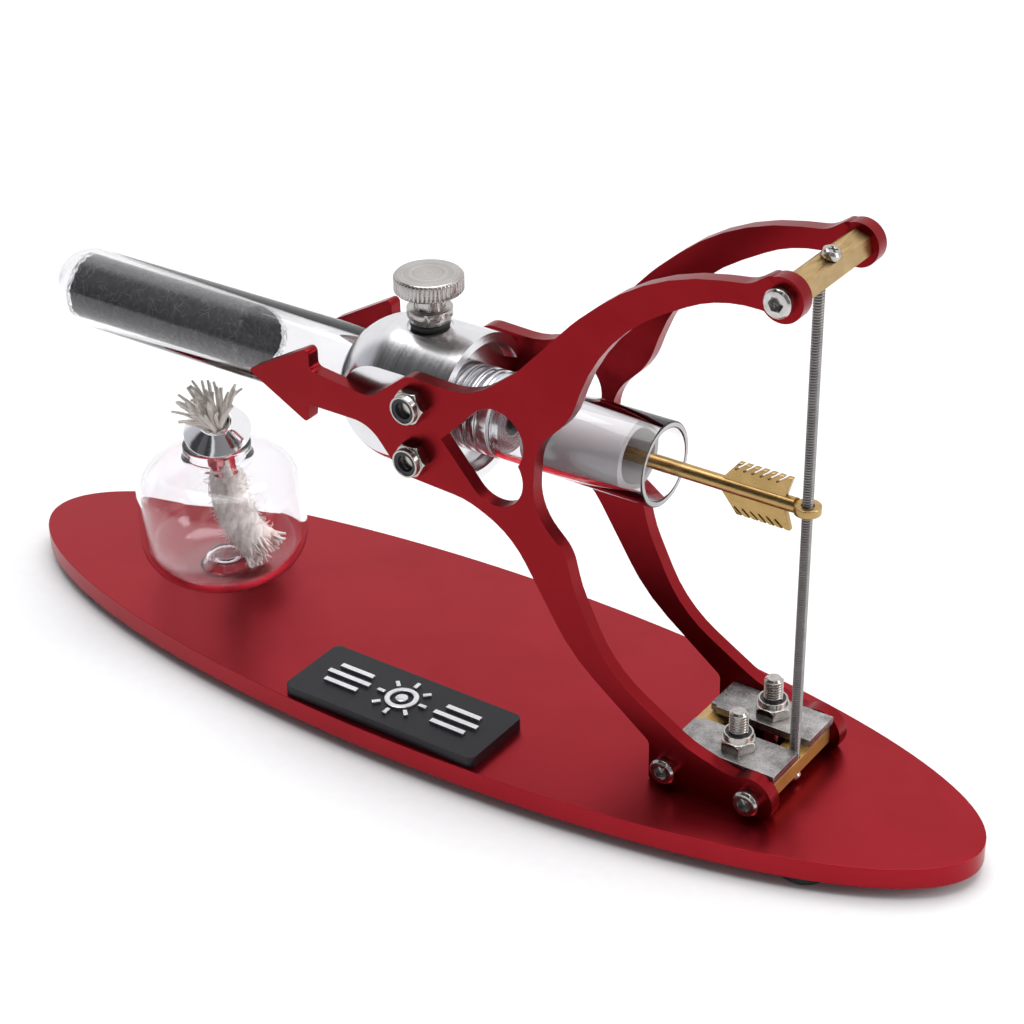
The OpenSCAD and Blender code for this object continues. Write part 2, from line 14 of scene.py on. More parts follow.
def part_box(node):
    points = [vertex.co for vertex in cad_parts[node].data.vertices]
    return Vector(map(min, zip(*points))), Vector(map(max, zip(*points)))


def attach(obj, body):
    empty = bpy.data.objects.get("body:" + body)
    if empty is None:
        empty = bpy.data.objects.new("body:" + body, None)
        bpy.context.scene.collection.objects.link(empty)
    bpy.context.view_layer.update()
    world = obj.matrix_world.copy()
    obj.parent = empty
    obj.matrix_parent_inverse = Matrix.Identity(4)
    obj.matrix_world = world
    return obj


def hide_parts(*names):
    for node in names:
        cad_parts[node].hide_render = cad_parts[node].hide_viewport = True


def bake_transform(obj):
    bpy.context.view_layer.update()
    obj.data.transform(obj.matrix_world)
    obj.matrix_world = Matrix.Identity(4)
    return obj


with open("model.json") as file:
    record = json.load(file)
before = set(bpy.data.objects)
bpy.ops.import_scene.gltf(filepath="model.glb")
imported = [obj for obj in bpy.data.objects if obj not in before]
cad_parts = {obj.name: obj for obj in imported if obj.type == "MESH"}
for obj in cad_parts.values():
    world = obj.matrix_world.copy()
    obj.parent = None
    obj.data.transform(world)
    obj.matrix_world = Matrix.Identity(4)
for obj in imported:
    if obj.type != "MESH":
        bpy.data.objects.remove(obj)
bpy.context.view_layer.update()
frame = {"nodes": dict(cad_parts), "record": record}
scene = bpy.context.scene
MM = 0.001
UP = Vector((0, 0, 1))


# ---- places taken from the frame ----


def middle(node):
    low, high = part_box(node)
    return (low + high) / 2


axis_z = middle("arrow_rod").z
lamp = middle("lamp_bulb")
base_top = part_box("base_plate")[1].z


def lamp_point(x, y, z):
    """A point given in millimetres from the middle of the lamp's foot."""
    return Vector((lamp.x + x * MM, lamp.y + y * MM, base_top + z * MM))


holder_rim = lamp_point(0.95, -0.45, 29.63)
valve = middle("valve_screw")
tube_low, tube_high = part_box("hot_tube")
tube_radius = (tube_high.y - tube_low.y) / 2
holder_axis = next(
    Vector(j["axis"]) for j in frame["record"]["behaviour"]["joints"] if j["child"] == "wick_holder"
)


# ---- materials ----


class Surface:
    """A Principled material whose colour, roughness and bump come from procedural nodes."""

    def __init__(self, name, color, metallic=0.0, roughness=0.5, **inputs):
        self.material = bpy.data.materials.new(name)
        self.material.use_nodes = True
        self.tree = self.material.node_tree
        self.shader = self.tree.nodes["Principled BSDF"]
        self.height = None
        self.set("Base Color", (*color, 1))
        self.set("Metallic", metallic)
        self.set("Roughness", roughness)
        for key, value in inputs.items():
            self.set(key.replace("_", " "), value)
        self.place = self.add("TexCoord").outputs["Object"]

    def set(self, socket, value):
        if isinstance(value, bpy.types.NodeSocket):
            self.tree.links.new(value, self.shader.inputs[socket])
        else:
            self.shader.inputs[socket].default_value = value

    def add(self, kind, *values, **settings):
        node = self.tree.nodes.new("ShaderNode" + kind)
        for key, value in settings.items():
            setattr(node, key, value)
        for socket, value in zip(node.inputs, values):
            if isinstance(value, bpy.types.NodeSocket):
                self.tree.links.new(value, socket)
            elif value is not None:
                socket.default_value = value
        return node

    def math(self, operation, a, b=0.0):
        return self.add("Math", a, b, operation=operation).outputs[0]

    def stretched(self, scale, place=None):
        """The coordinates, multiplied by scale along each axis."""
        return self.add("VectorMath", place or self.place, scale, operation="MULTIPLY").outputs[0]

    def grain(self, size, detail=3.0, place=None, distortion=0.0, roughness=0.5):
        """Noise from 0 to 1, with features of that size in metres."""
        node = self.add("TexNoise")
        self.tree.links.new(place or self.place, node.inputs["Vector"])
        node.inputs["Scale"].default_value = 1 / size
        node.inputs["Detail"].default_value = detail
        node.inputs["Roughness"].default_value = roughness
        node.inputs["Distortion"].default_value = distortion
        return node.outputs["Fac"]

    def turned(self, centre, axis):
        """Coordinates that are the same all round an axis: the length along it and the distance from it."""
        shifted = self.add("VectorMath", self.place, centre, operation="SUBTRACT").outputs[0]
        across = [0.0 if k == axis else 1.0 for k in range(3)]
        flat = self.stretched(across, shifted)
        radius = self.add("VectorMath", flat, operation="LENGTH").outputs["Value"]
        along = self.add("SeparateXYZ", shifted).outputs[axis]
        return self.add("CombineXYZ", along, radius, 0.0).outputs[0]

    def spread(self, value, low, high, start=0.3, end=0.7):
        """value, which lies between start and end, moved to between low and high."""
        return self.add("MapRange", value, start, end, low, high).outputs[0]

    def tint(self, value, dark, light, start=0.3, end=0.7):
        mix = self.add("Mix", self.spread(value, 0.0, 1.0, start, end), data_type="RGBA")
        mix.inputs["A"].default_value = (*dark, 1)
        mix.inputs["B"].default_value = (*light, 1)
        self.set("Base Color", mix.outputs["Result"])

    def bump(self, height, distance, strength=1.0):
        node = self.add("Bump", strength)
        node.inputs["Distance"].default_value = distance
        self.tree.links.new(height, node.inputs["Height"])
        if self.height is not None:
            self.tree.links.new(self.height, node.inputs["Normal"])
        self.height = node.outputs["Normal"]
        self.set("Normal", self.height)


def anodised_red(name, dark, light, rough):
    """Bead-blasted aluminium under a red anodic layer."""
    s = Surface(name, light, 1.0, rough)
    fine = s.grain(0.12 * MM, 2)
    cloud = s.grain(14 * MM, 4, distortion=0.6)
    s.tint(cloud, dark, light)
    s.set("Roughness", s.spread(s.math("ADD", fine, cloud), rough - 0.03, rough + 0.04, 0.6, 1.4))
    s.bump(fine, 0.006 * MM)
    return s.material


def brushed(name, dark, light, rough, stretch, line=0.12 * MM, depth=0.006 * MM, metallic=1.0):
    """Metal with drawing or grinding lines along one direction."""
    s = Surface(name, light, metallic, rough)
    lines = s.grain(line, 3, s.stretched(stretch))
    cloud = s.grain(3 * MM, 4)
    s.tint(s.math("MULTIPLY", s.math("ADD", lines, cloud), 0.5), dark, light)
    s.set("Roughness", s.spread(lines, rough - 0.05, rough + 0.09))
    s.bump(lines, depth)
    return s.material


def turned(name, dark, light, rough, centre, axis, line=0.16 * MM, depth=0.004 * MM):
    """Metal with the fine rings that a lathe leaves."""
    s = Surface(name, light, 1.0, rough)
    rings = s.grain(line, 3, s.turned(centre, axis))
    cloud = s.grain(5 * MM, 3)
    s.tint(s.math("MULTIPLY", s.math("ADD", rings, cloud), 0.5), dark, light)
    s.set("Roughness", s.spread(rings, rough - 0.04, rough + 0.07))
    s.bump(rings, depth)
    return s.material


def cast_speckle(name, dark, light, rough, depth):
    """Rolled steel with a mottled grey skin."""
    s = Surface(name, light, 1.0, rough)
    speckle = s.grain(0.35 * MM, 5, roughness=0.65)
    patch = s.grain(2.5 * MM, 3)
    s.tint(s.math("MULTIPLY", s.math("ADD", speckle, patch), 0.5), dark, light, 0.38, 0.62)
    s.set("Roughness", s.spread(speckle, rough - 0.1, rough + 0.15))
    s.bump(speckle, depth)
    return s.material


def polished(name, dark, light, rough):
    """Plated or polished steel with faint clouds in its finish."""
    s = Surface(name, light, 1.0, rough)
    cloud = s.grain(1.2 * MM, 3)
    s.tint(cloud, dark, light)
    s.set("Roughness", s.spread(cloud, rough - 0.03, rough + 0.04))
    s.bump(cloud, 0.002 * MM)
    return s.material


def soft_plastic(name, color, rough, grain=0.2 * MM, depth=0.01 * MM, specular=0.5):
    """Matt plastic or rubber with a fine grain."""
    s = Surface(name, color, 0.0, rough, Specular_IOR_Level=specular)
    fine = s.grain(grain, 3)
    s.tint(fine, [0.7 * c for c in color], [min(1, 1.25 * c) for c in color])
    s.set("Roughness", s.spread(fine, rough - 0.08, rough + 0.08))
    s.bump(fine, depth)
    return s.material


def clear_glass(name, tone, waves):
    """Blown glass: clear, with slow waves in its surface and a little dust. Lamps shine through it."""
    s = Surface(name, tone, 0.0, 0.0, Transmission_Weight=1.0, IOR=1.47)
    wave = s.grain(waves, 1)
    dust = s.grain(1.2 * MM, 4)
    s.set("Roughness", s.spread(dust, 0.0, 0.02, 0.45, 0.75))
    s.bump(wave, 0.03 * MM, 0.3)
    clear = s.add("BsdfTransparent")
    clear.inputs["Color"].default_value = (*tone, 1)
    path = s.add("LightPath")
    mix = s.add("MixShader")
    s.tree.links.new(path.outputs["Is Shadow Ray"], mix.inputs[0])
    s.tree.links.new(s.shader.outputs[0], mix.inputs[1])
    s.tree.links.new(clear.outputs[0], mix.inputs[2])
    s.tree.links.new(mix.outputs[0], s.tree.nodes["Material Output"].inputs["Surface"])
    return s.material


def ground_glass(name, tone, clear, rough):
    """Glass with a fine ground skin, which lets light through but no picture."""
    s = Surface(name, tone, 0.0, rough, Transmission_Weight=clear, IOR=1.47)
    fine = s.grain(0.09 * MM, 3)
    rings = s.grain(0.5 * MM, 2, s.turned((0, 0, axis_z), 0))
    s.tint(rings, [0.95 * c for c in tone], tone)
    s.set("Roughness", s.spread(s.math("ADD", fine, rings), rough - 0.06, rough + 0.1, 0.6, 1.4))
    s.bump(fine, 0.006 * MM)
    return s.material


def fibrous(name, dark, light, size, stretch, sheen):
    """Spun or matted fibre."""
    s = Surface(name, light, 0.0, 0.9, Sheen_Weight=sheen, Sheen_Roughness=0.5)
    thread = s.grain(size, 4, s.stretched(stretch), distortion=1.2, roughness=0.7)
    clump = s.grain(8 * size, 3)
    s.tint(s.math("MULTIPLY", s.math("ADD", thread, clump), 0.5), dark, light, 0.38, 0.62)
    s.set("Roughness", s.spread(thread, 0.8, 1.0))
    s.bump(thread, 0.12 * MM, 0.7)
    return s.material


red_base = anodised_red("red_base", (0.31, 0.0135, 0.021), (0.34, 0.016, 0.025), 0.3)
# Painted shade: the bow plates get a darker copy of the base's red anodising, so that they read darker than
# the base.
red_bow_painted_shade = anodised_red("red_bow_painted_shade", (0.215, 0.0085, 0.0125), (0.245, 0.01, 0.0145), 0.3)
brass_bar = brushed("brass_bar", (0.34, 0.22, 0.09), (0.5, 0.35, 0.17), 0.32, (1, 0.05, 1))
# Painted light: the foot bars get a lighter, yellower copy of the crossbar brass with half its metal turned
# to diffuse colour, so they stay amber where they would mirror the dark base.
brass_foot_painted_light = brushed("brass_foot_painted_light", (0.45, 0.26, 0.06), (0.6, 0.38, 0.12), 0.36, (1, 0.05, 1), metallic=0.5)
brass_rod = brushed("brass_rod", (0.36, 0.235, 0.085), (0.52, 0.35, 0.15), 0.28, (0.06, 1, 1))
steel = polished("steel_fasteners", (0.44, 0.43, 0.41), (0.6, 0.59, 0.57), 0.17)
steel_plain = polished("steel_fine", (0.4, 0.375, 0.345), (0.54, 0.515, 0.485), 0.2)
clamp_steel = cast_speckle("clamp_steel", (0.2, 0.19, 0.185), (0.46, 0.445, 0.44), 0.36, 0.008 * MM)
spring_steel = brushed("spring_steel", (0.24, 0.23, 0.225), (0.4, 0.39, 0.385), 0.34, (1, 1, 1), 0.3 * MM)
cooler_skin = turned(
    "cooler_skin", (0.68, 0.675, 0.69), (0.8, 0.795, 0.81), 0.2, (0, 0, axis_z), 0, depth=0.003 * MM
)
socket_skin = turned(
    "socket_skin", (0.66, 0.66, 0.68), (0.82, 0.82, 0.84), 0.26, (0, 0, axis_z), 0, 0.5 * MM, 0.0004 * MM
)
holder_skin = turned(
    "holder_skin", (0.8, 0.8, 0.82), (0.88, 0.88, 0.9), 0.1, holder_rim, 2, depth=0.0005 * MM
)
nickel = turned(
    "nickel", (0.36, 0.34, 0.32), (0.54, 0.52, 0.5), 0.24, (valve.x, valve.y, 0), 2, 0.3 * MM, 0.002 * MM
)
plate_black = soft_plastic("plate_black", (0.008, 0.008, 0.011), 0.4, 0.15 * MM, specular=0.3)
ornament = brushed("ornament_silver", (0.66, 0.66, 0.68), (0.86, 0.86, 0.88), 0.3, (0.1, 1, 1))
nylon = soft_plastic("nylon_dark", (0.02, 0.02, 0.028), 0.5)
rubber = soft_plastic("rubber_dark", (0.018, 0.018, 0.018), 0.6)
seal_ring = soft_plastic("seal_white", (0.78, 0.78, 0.8), 0.5)
tube_glass = clear_glass("tube_glass", (0.95, 0.945, 0.955), 9 * MM)
lamp_glass = clear_glass("lamp_glass", (0.94, 0.93, 0.945), 7 * MM)
frosted = ground_glass("glass_ground", (0.6, 0.59, 0.6), 0.25, 0.36)
ground_end = ground_glass("glass_end", (0.8, 0.78, 0.79), 0.4, 0.5)
wool = fibrous("wool_dark", (0.006, 0.006, 0.007), (0.03, 0.031, 0.033), 0.14 * MM, (0.5, 1, 1), 0.1)
wool_hair = fibrous("wool_hair", (0.05, 0.05, 0.055), (0.24, 0.24, 0.25), 0.3 * MM, (1, 1, 1), 0.1)
cotton = fibrous("cotton", (0.72, 0.66, 0.6), (0.94, 0.91, 0.86), 0.18 * MM, (1, 1, 0.35), 0.3)


# ---- CAD nodes keep their shape and get a finish and softened edges ----


def finish(material, edge, *nodes, segments=2):
    """Gives the nodes a material. An edge width other than 0 also bevels their sharp edges."""
    for name in nodes:
        piece = frame["nodes"][name]
        for slot in piece.material_slots:
            slot.material = material
        if edge:
            weld = piece.modifiers.new("weld", "WELD")
            weld.merge_threshold = 0.002 * MM
            bevel = piece.modifiers.new("edge", "BEVEL")
            bevel.width = edge
            bevel.segments = segments
            bevel.limit_method = "ANGLE"
            bevel.angle_limit = math.radians(35)
            bevel.harden_normals = False
            normals = piece.modifiers.new("shading", "WEIGHTED_NORMAL")
            normals.keep_sharp = False


finish(red_base, 0.45 * MM, "base_plate", segments=3)
# The bow plates take the darker copy of the red, which is painted shade.
finish(red_bow_painted_shade, 0.45 * MM, "bow_plate_near", "bow_plate_far", segments=3)
finish(rubber, 0, "rubber_feet", "hot_tube_seals", "valve_seal")
finish(plate_black, 0.25 * MM, "nameplate")
finish(ornament, 0.06 * MM, "nameplate_trim", segments=1)
finish(brass_bar, 0.15 * MM, "top_crossbar")
# The foot bars take the lighter copy of the brass, which is painted light.
finish(brass_foot_painted_light, 0.15 * MM, "foot_bar_front", "foot_bar_rear")
finish(brass_rod, 0, "arrow_rod")
finish(brass_rod, 0.06 * MM, "arrow_fletching", segments=1)
finish(brass_rod, 0.15 * MM, "arrow_eyelet")
finish(steel, 0.12 * MM, "top_crossbar_screws", "foot_screws")
finish(steel_plain, 0.1 * MM, "hub_lock_nuts", "clamp_lock_nuts", "string_screw_top", "string_screw_bottom")
finish(steel_plain, 0, "hub_studs", "clamp_bolts")
finish(clamp_steel, 0.12 * MM, "clamp_plate_near", "clamp_plate_far")
finish(nylon, 0, "hub_nut_inserts", "clamp_nut_inserts")
finish(cooler_skin, 0.12 * MM, "cooler_body")
finish(socket_skin, 0.08 * MM, "cylinder_socket")
finish(seal_ring, 0, "cylinder_seal")
finish(frosted, 0, "piston")
finish(nickel, 0.08 * MM, "valve_screw", segments=1)
finish(holder_skin, 0.08 * MM, "wick_holder")


# ---- mesh helpers ----


def make_mesh(name, points, faces, material, body):
    """A smooth-shaded piece that rides the body, or no body yet where it is None."""
    mesh = bpy.data.meshes.new(name)
    mesh.from_pydata(points, [], faces)
    mesh.validate()
    mesh.shade_smooth()
    mesh.materials.append(material)
    piece = bpy.data.objects.new(name, mesh)
    scene.collection.objects.link(piece)
    if body:
        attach(piece, body)
    return piece


def add_tube(points, faces, line, radius, sides=6):
    """Adds a closed tube along line. radius is a number, or a function of the share of the line."""
    first = len(points)
    side = None
    for k, here in enumerate(line):
        ahead = line[min(k + 1, len(line) - 1)] - line[max(k - 1, 0)]
        tangent = ahead.normalized()
        if side is None:
            side = tangent.orthogonal()
        side = (side - tangent * side.dot(tangent)).normalized()
        other = tangent.cross(side)
        r = radius(k / (len(line) - 1)) if callable(radius) else radius
        for s in range(sides):
            a = math.tau * s / sides
            points.append(here + r * (math.cos(a) * side + math.sin(a) * other))
    rings = len(line)
    for k in range(rings - 1):
        for s in range(sides):
            a, b = first + k * sides + s, first + k * sides + (s + 1) % sides
            faces.append((a, b, b + sides, a + sides))
    faces.append([first + s for s in reversed(range(sides))])
    faces.append([first + (rings - 1) * sides + s for s in range(sides)])


def smooth_line(knots, steps):
    """Points on a smooth curve through the knots."""
    knots = [Vector(k) for k in knots]
    padded = [2 * knots[0] - knots[1], *knots, 2 * knots[-1] - knots[-2]]
    line = []
    for a, b, c, d in zip(padded, padded[1:], padded[2:], padded[3:]):
        for k in range(steps):
            t = k / steps
            square = 2 * a - 5 * b + 4 * c - d
            cube = 3 * b - a - 3 * c + d
            line.append(0.5 * (2 * b + (c - a) * t + square * t**2 + cube * t**3))
    return [*line, knots[-1]]


# ---- screw threads on the two studs that stand above their lock nuts ----


def stud_threads(pitch=0.5 * MM, steps=20):
    """A helical ridge on both clamp studs, from the lock nuts up."""
    low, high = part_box("clamp_bolts")
    start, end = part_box("clamp_lock_nuts")[1].z, high.z - 0.4 * MM
    head, ridge = 3 * MM, 1.48 * MM
    points, faces = [], []
    for y in (low.y + head, high.y - head):
        count = round((end - start) / pitch * steps)
        line = [
            Vector((
                (low.x + high.x) / 2 + ridge * math.cos(math.tau * k / steps),
                y + ridge * math.sin(math.tau * k / steps),
                start + (end - start) * k / count,
            ))
            for k in range(count + 1)
        ]
        add_tube(points, faces, line, 0.17 * MM, 6)
    make_mesh("stud_threads", points, faces, steel_plain, "frame")


stud_threads()


# ---- blown glass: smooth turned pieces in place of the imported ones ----


def arc(x, r, radius, start, end, steps=24):
    """Points (x, r) on an arc about (x, r), with its angles in degrees."""
    return [
        (
            x + radius * math.cos(math.radians(start + (end - start) * k / steps)),
            r + radius * math.sin(math.radians(start + (end - start) * k / steps)),
        )
        for k in range(steps + 1)
    ]


def rounded(corners, steps=10):
    """The line through corners (a, b, fillet), with every corner turned into an arc."""
    line = []
    for k, (a, b, fillet) in enumerate(corners):
        here = Vector((a, b))
        if not fillet or k in (0, len(corners) - 1):
            line.append((a, b))
            continue
        back = Vector(corners[k - 1][:2]) - here
        on = Vector(corners[k + 1][:2]) - here
        half = back.angle(on) / 2
        reach = min(fillet / math.tan(half), 0.9 * back.length, 0.9 * on.length)
        first, last = here + reach * back.normalized(), here + reach * on.normalized()
        centre = here + (back.normalized() + on.normalized()).normalized() * reach / math.cos(half)
        turn = math.pi - 2 * half
        for s in range(steps + 1):
            t = turn * s / steps
            spoke = math.sin(turn - t) * (first - centre) + math.sin(t) * (last - centre)
            line.append(tuple(centre + spoke / math.sin(turn)))
    return line


def lathe(name, line, place, along, closed, materials, body, ground=None, around=160):
    """Turns the line of (along, radius) about the axis through place.

    Faces for whose middle ground(a, r) is true get the second material.
    """
    axis = Vector(along)
    side = axis.orthogonal().normalized()
    other = axis.cross(side)
    points, rows, faces, marks = [], [], [], []
    for a, r in line:
        if r < 1e-7:
            rows.append([len(points)] * around)
            points.append(place + a * axis)
            continue
        rows.append(list(range(len(points), len(points) + around)))
        for s in range(around):
            angle = math.tau * s / around
            points.append(place + a * axis + r * (math.cos(angle) * side + math.sin(angle) * other))
    count = len(rows)
    for k in range(count if closed else count - 1):
        one, two = rows[k], rows[(k + 1) % count]
        mid = [(line[k][i] + line[(k + 1) % count][i]) / 2 for i in (0, 1)]
        for s in range(around):
            t = (s + 1) % around
            face = [one[s], one[t], two[t], two[s]]
            faces.append(list(dict.fromkeys(face)))
            marks.append(1 if ground and ground(*mid) else 0)
    piece = make_mesh(name, points, faces, materials[0], body)
    for extra in materials[1:]:
        piece.data.materials.append(extra)
    for polygon, mark in zip(piece.data.polygons, marks):
        polygon.material_index = mark
    return piece


def hot_tube_glass(centre):
    """A test tube with a round end on the left and a rounded rim at its mouth."""
    wall = 1 * MM
    dome = tube_low.x + tube_radius
    edge = 0.3 * MM
    line = arc(dome, 0, tube_radius, 180, 90)
    line += arc(tube_high.x - edge, tube_radius - edge, edge, 90, 0, 6)
    line += arc(tube_high.x - edge, tube_radius - wall + edge, edge, 0, -90, 6)
    line += arc(dome, 0, tube_radius - wall, 90, 180)
    line[0], line[-1] = (tube_low.x, 0), (tube_low.x + wall, 0)
    piece = lathe("hot_tube_glass", line, centre, (1, 0, 0), False, [tube_glass], "frame")
    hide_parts("hot_tube")


def cylinder_glass(centre):
    """A straight tube with softened edges and a ground right end."""
    low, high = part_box("glass_cylinder")
    outer, inner = (high.y - low.y) / 2, 6.05 * MM
    edge = 0.25 * MM
    line = arc(low.x + edge, outer - edge, edge, 180, 90, 5)
    line += arc(high.x - edge, outer - edge, edge, 90, 0, 5)
    line += arc(high.x - edge, inner + edge, edge, 0, -90, 5)
    line += arc(low.x + edge, inner + edge, edge, 270, 180, 5)
    piece = lathe(
        "cylinder_glass", line, centre, (1, 0, 0), True, [tube_glass, ground_end], "frame",
        lambda a, r: a > high.x - 0.5 * edge and inner + edge < r < outer - edge,
    )
    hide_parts("glass_cylinder")


def lamp_glass_bulb():
    """The lamp: corners (radius, height, fillet) in millimetres, up the outside and down the inside."""
    outside = [
        (0, 2.4, 0), (3, 2.4, 1.5), (4.8, 0, 0.9), (15.8, 0, 8), (15.8, 22, 6), (6.4, 24.4, 1.2),
        (6.4, 27, 0.4),
    ]
    inside = [
        (5.3, 27, 0.4), (5.3, 23.2, 1.6), (14.7, 20.8, 5.2), (14.7, 1.1, 7), (5.1, 1.1, 0.8), (3.3, 3.5, 1.5),
        (0, 3.5, 0),
    ]
    line = [(b * MM, a * MM) for a, b in rounded(outside + inside)]
    air = 0.06  # under the flat foot, in millimetres
    place = lamp_point(0, 0, air)
    piece = lathe("lamp_glass_bulb", line, place, (0, 0, 1), False, [lamp_glass], "lamp")
    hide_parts("lamp_bulb")


engine_axis = Vector((0, 0, axis_z))
hot_tube_glass(engine_axis)
cylinder_glass(engine_axis)
lamp_glass_bulb()


# ---- bowstring: a closely wound coil spring in two halves ----


def coil(name, z_start, z_end, wire=0.21 * MM, pitch=0.46 * MM):
    """The coil spring between two heights. Returns it and the middle of the whole string."""
    low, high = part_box("bow_string")
    centre = (low + high) / 2
    radius = (high.x - low.x) / 2 - wire
    steps = 12
    count = round((z_end - z_start) / pitch * steps)
    line = [
        Vector((
            centre.x + radius * math.cos(math.tau * k / steps),
            centre.y + radius * math.sin(math.tau * k / steps),
            z_start + (z_end - z_start) * k / count,
        ))
        for k in range(count + 1)
    ]
    points, faces = [], []
    add_tube(points, faces, line, wire, 6)
    piece = make_mesh(name, points, faces, spring_steel, None)
    return piece, centre


string_low, string_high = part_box("bow_string")
lower_string, string_centre = coil("string_lower", string_low.z, axis_z)
upper_string, _ = coil("string_upper", axis_z, string_high.z)
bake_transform(lower_string)
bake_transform(upper_string)
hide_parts("bow_string")
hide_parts("bow_string")


# ---- regenerator: a roll of dark wool in the hot tube ----


def wool_stack():
    """A rough closed cylinder with fuzzy cut ends."""
    low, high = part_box("regenerator_stack")
    radius = (high.y - low.y) / 2
    around, along, inward = 120, 150, 14
    points, faces = [], []

    def ring(x, share, ragged):
        for s in range(around):
            a = math.tau * s / around
            out = Vector((0, math.cos(a), math.sin(a)))
            rough = noise.noise(Vector((x, 0, 0)) / (0.5 * MM) + 7 * out)
            pull = ragged * noise.noise(9 * out * share + Vector((x * 1000, 3, 5)))
            r = radius * share * (1 - 0.02 * (1 + rough))
            points.append(Vector((x + pull, 0, axis_z)) + r * out)

    for k in range(inward):
        ring(low.x + 0.35 * MM, (k + 0.5) / inward, 0.5 * MM)
    for k in range(along + 1):
        ends = max(0, 1 - min(k, along - k) / 4)
        ring(low.x + 0.35 * MM + (high.x - low.x - 0.7 * MM) * k / along, 1.0, 0.5 * MM * ends)
    for k in reversed(range(inward)):
        ring(high.x - 0.35 * MM, (k + 0.5) / inward, 0.5 * MM)
    rings = len(points) // around
    for k in range(rings - 1):
        for s in range(around):
            a, b = k * around + s, k * around + (s + 1) % around
            faces.append((a, a + around, b + around, b))
    faces.append(list(range(around)))
    faces.append([(rings - 1) * around + s for s in reversed(range(around))])
    piece = make_mesh("wool_stack", points, faces, wool, "frame")
    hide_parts("regenerator_stack")
    return low, high, radius


def wool_hairs(low, high, radius, count=1500):
    """Loose fibres on the roll's surface and at its ragged ends."""
    rng = random.Random(11)
    points, faces = [], []
    for k in range(count):
        x = rng.uniform(low.x, high.x)
        if k % 3 == 0:
            x = rng.choice((low.x, high.x)) + rng.gauss(0, 0.5 * MM)
        a = rng.uniform(0, math.tau)
        heading = rng.uniform(0, math.tau)
        curl = rng.uniform(-0.9, 0.9)
        length = rng.uniform(0.8, 3.2) * MM
        steps = 6
        line = []
        for s in range(steps):
            r = radius * 0.997
            line.append(Vector((x, r * math.cos(a), axis_z + r * math.sin(a))))
            x += length / steps * math.cos(heading)
            x = min(max(x, low.x - 0.5 * MM), high.x + 0.7 * MM)
            a += length / steps * math.sin(heading) / radius
            heading += curl
        add_tube(points, faces, line, rng.uniform(0.018, 0.035) * MM, 3)
    make_mesh("wool_hairs", points, faces, wool_hair, "frame")


wool_hairs(*wool_stack())


# ---- wick: a twisted cotton rope, frayed at both ends ----

rope_radius, ply_radius, core_radius = 3.55 * MM, 1.12 * MM, 1.9 * MM
rope_start, sleeve_end = 2 * MM, 11 * MM
rope_knots = [holder_rim + s * MM * holder_axis for s in (2, -2, -6, -10, -13.5)]
rope_knots += [
    lamp_point(*k) for k in ((-2, 4.2, 15.6), (0, 2.7, 13), (1.9, 2.4, 10), (4, 2.5, 7.4), (7, 2.5, 5.5))
]


def narrowed(share):
    """The rope's thickness along its length: thin in the sleeve, full below it."""
    return min(1, max(0.6, 2.2 * share - 0.2))


def rope():
    """Nine twisted plies around a core. Returns its frames: (place, side, other side, length so far)."""
    line = smooth_line(rope_knots, 12)
    length = sum((b - a).length for a, b in zip(line, line[1:]))
    plies, turn = 9, 17 * MM
    points, faces = [], []
    side = Vector((1, 0, 0))
    frames = []
    travelled = 0
    for k, here in enumerate(line):
        tangent = (line[min(k + 1, len(line) - 1)] - line[max(k - 1, 0)]).normalized()
        side = (side - tangent * side.dot(tangent)).normalized()
        frames.append((here, side, tangent.cross(side), travelled))
        if k + 1 < len(line):
            travelled += (line[k + 1] - here).length
    for p in range(plies):
        ply = []
        for here, a, b, gone in frames:
            out_of_sleeve = gone - rope_start - sleeve_end
            inside = min(1, max(0.6, 0.6 + out_of_sleeve / (4 * MM)))
            angle = math.tau * (p / plies + gone / turn)
            flare = 1 + 0.14 * max(0, gone / length - 0.86) / 0.14
            wobble = 0.22 * MM * noise.noise(Vector((p * 3.1, gone * 900, 1)))
            r = (rope_radius - ply_radius + wobble) * inside * flare
            ply.append(here + r * (math.cos(angle) * a + math.sin(angle) * b))

        def thickness(share, p=p):
            uneven = 0.12 * MM * noise.noise(Vector((share * 60, p, 0)))
            return (ply_radius + uneven) * narrowed(share)

        add_tube(points, faces, ply, thickness, 10)
    core = [f[0] for f in frames]
    add_tube(points, faces, core, lambda share: core_radius * narrowed(share), 10)
    piece = make_mesh("wick_rope", points, faces, cotton, "wick_holder")
    soft = piece.modifiers.new("soft", "SUBSURF")
    soft.levels = soft.render_levels = 1
    return frames


def strands(name, starts, rng):
    """Yarns that leave a point in a direction and fan out: (start, direction, length, droop, radius)."""
    points, faces = [], []
    for start, direction, length, droop, radius in starts:
        wander = Vector((rng.gauss(0, 1), rng.gauss(0, 1), rng.gauss(0, 1))) * 0.12
        line = []
        heading = direction.normalized()
        here = start.copy()
        steps = 9
        for _ in range(steps):
            line.append(here.copy())
            heading = (heading + wander / steps * 2 + droop / steps).normalized()
            wander += Vector((rng.gauss(0, 1), rng.gauss(0, 1), rng.gauss(0, 1))) * 0.1
            here += heading * length / (steps - 1)
        add_tube(points, faces, line, lambda t, r=radius: r * (1 - 0.35 * t**4), 6)
    make_mesh(name, points, faces, cotton, "wick_holder")


